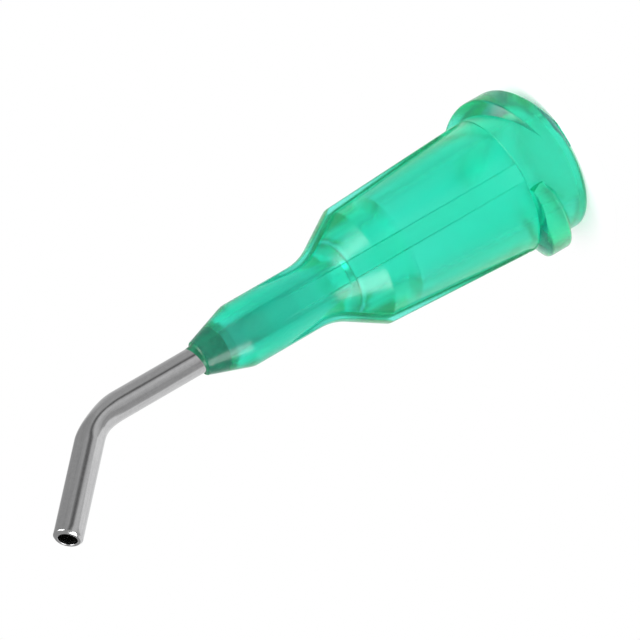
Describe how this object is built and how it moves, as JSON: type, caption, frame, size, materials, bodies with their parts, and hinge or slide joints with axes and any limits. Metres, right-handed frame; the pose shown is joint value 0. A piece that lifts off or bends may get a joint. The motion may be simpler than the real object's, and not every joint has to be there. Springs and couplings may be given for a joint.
{
  "type": "dispensing needle tip",
  "caption": "Bent stainless dispensing tip: translucent ribbed hub with a Luer lock socket and lugs, a round cannula bent near its middle, and a bonded nose.",
  "frame": {"origin": "centre of the Luer mouth's face, on which the tip stands", "axes": "+Z along the Luer axis from the mouth towards the cannula; the cannula bends towards +X, in the XZ plane"},
  "size_m": [0.0085, 0.0078, 0.0283],
  "materials": {
    "hub_plastic": "smooth translucent moulding",
    "cannula_steel": "drawn satin steel",
    "adhesive": "cured adhesive"
  },
  "bodies": {
    "root": {"hub": "hub_plastic", "cannula": "cannula_steel", "adhesive": "adhesive"}
  },
  "joints": []
}
